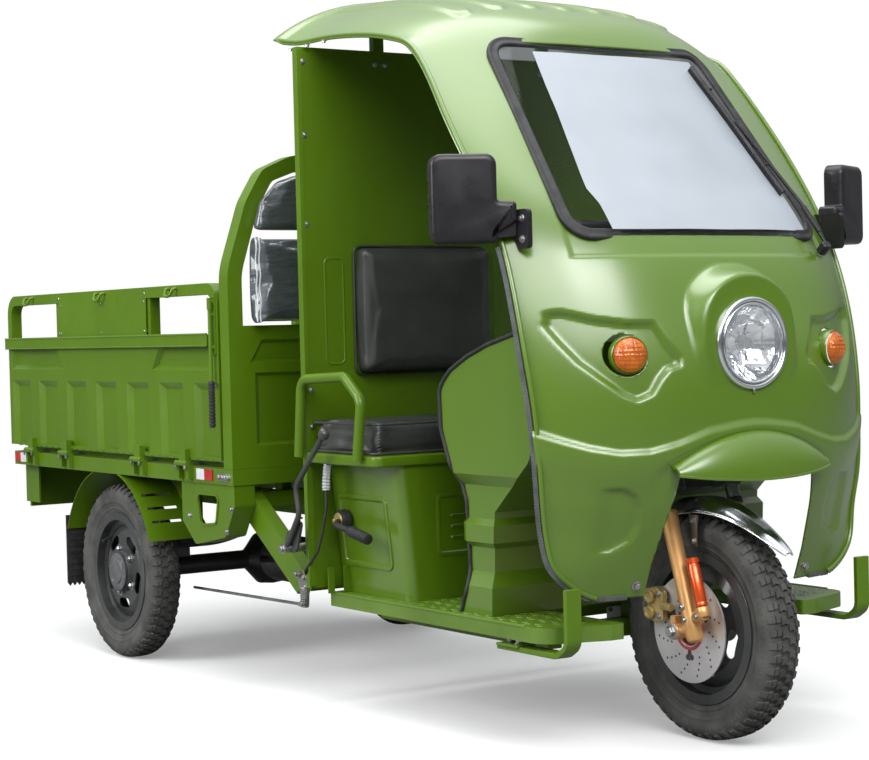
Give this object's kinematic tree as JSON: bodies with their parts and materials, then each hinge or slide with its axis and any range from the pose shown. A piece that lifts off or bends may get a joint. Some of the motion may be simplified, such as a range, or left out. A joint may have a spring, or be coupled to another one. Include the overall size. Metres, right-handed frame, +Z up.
{
  "type": "electric cargo tricycle",
  "caption": "Open-sided cab tricycle with a drop-side cargo bed, raked steered front wheel, bench seat and moulded wrap-round cab shell.",
  "frame": {"origin": "on the ground under the middle of the vehicle's box", "axes": "+Z up, front faces -Y, +X to the vehicle's left side"},
  "size_m": [1.2266, 2.985, 1.7888],
  "materials": {
    "green_paint": "gloss paint over pressed steel",
    "green_moulding": "glossy painted moulding",
    "floor_paint": "painted tread plate",
    "clear_screen": "clear polished sheet",
    "black_rubber": "matt rubber",
    "chrome": "bright plating",
    "lamp_lens": "clear fluted lens over a bright bowl",
    "amber_lens": "clear amber plastic",
    "red_lens": "clear red plastic",
    "black_plastic": "textured black plastic",
    "black_vinyl": "grained black vinyl",
    "grey_padding": "dark grey padding under clear film",
    "black_paint": "gloss black paint",
    "steel": "bare ground steel",
    "gold_metal": "gold anodised",
    "orange_metal": "clear orange over metal",
    "tyre_rubber": "road tyre rubber"
  },
  "bodies": {
    "body": {"chassis_frame": "green_paint", "floor_pan": "floor_paint", "cab_shell": "green_moulding", "windscreen_glass": "clear_screen", "windscreen_seal": "black_rubber", "wheel_hood": "green_moulding", "headlamp": "lamp_lens", "headlamp_ring": "chrome", "turn_signals": "amber_lens", "inner_fascia": "green_moulding", "cab_rear_wall": "green_paint", "seat_box": "green_moulding", "seat_shelf": "green_paint", "battery_block": "black_plastic", "seat_cushion": "black_vinyl", "seat_back": "black_vinyl", "arm_rails": "green_paint", "mirror_right": "black_plastic", "mirror_left": "black_plastic", "wiper": "black_plastic", "headboard": "green_paint", "headboard_pads": "grey_padding", "bed_frame": "green_paint", "bed_floor": "green_paint", "rear_fenders": "green_paint", "mudflaps": "black_rubber", "corner_boxes": "green_paint", "lamp_board": "green_paint", "tail_lamps": "red_lens", "reflectors": "red_lens", "rear_axle": "black_paint", "leaf_springs": "black_paint", "spring_hangers": "black_paint", "parking_lever": "black_paint", "brake_rods": "steel", "shifter": "black_plastic", "step_brackets": "green_paint"},
    "steering": {"fork": "gold_metal", "fork_reservoirs": "orange_metal", "caliper": "gold_metal", "front_fender": "chrome", "handlebar": "black_paint"},
    "front_wheel": {"front_tyre": "tyre_rubber", "front_rim": "black_paint", "brake_disc": "steel"},
    "rear_wheel_right": {"rear_tyre_right": "tyre_rubber", "rear_rim_right": "black_paint"},
    "rear_wheel_left": {"rear_tyre_left": "tyre_rubber", "rear_rim_left": "black_paint"},
    "gate_right": {"gate_right": "green_paint", "latch_right": "green_paint"},
    "gate_left": {"gate_left": "green_paint", "latch_left": "green_paint"},
    "tailgate": {"tailgate": "green_paint"}
  },
  "joints": [
    {"name": "steer", "type": "hinge", "parent": "body", "child": "steering", "pos_m": [0, -1.2525, 0.2525], "axis": [0, 0.284, 0.9588], "range_deg": [-35, 35]},
    {"name": "front_wheel_spin", "type": "hinge", "parent": "steering", "child": "front_wheel", "pos_m": [0, -1.2325, 0.2525], "axis": [1, 0, 0], "continuous": true},
    {"name": "rear_wheel_right_spin", "type": "hinge", "parent": "body", "child": "rear_wheel_right", "pos_m": [-0.4685, 0.7835, 0.2525], "axis": [1, 0, 0], "continuous": true},
    {"name": "rear_wheel_left_spin", "type": "hinge", "parent": "body", "child": "rear_wheel_left", "pos_m": [0.4685, 0.7835, 0.2525], "axis": [1, 0, 0], "continuous": true},
    {"name": "gate_right_drop", "type": "hinge", "parent": "body", "child": "gate_right", "pos_m": [-0.55, 0.7675, 0.59], "axis": [0, -1, 0], "range_deg": [0, 178]},
    {"name": "gate_left_drop", "type": "hinge", "parent": "body", "child": "gate_left", "pos_m": [0.55, 0.7675, 0.59], "axis": [0, 1, 0], "range_deg": [0, 178]},
    {"name": "tailgate_drop", "type": "hinge", "parent": "body", "child": "tailgate", "pos_m": [0, 1.4805, 0.59], "axis": [-1, 0, 0], "range_deg": [0, 178]}
  ]
}
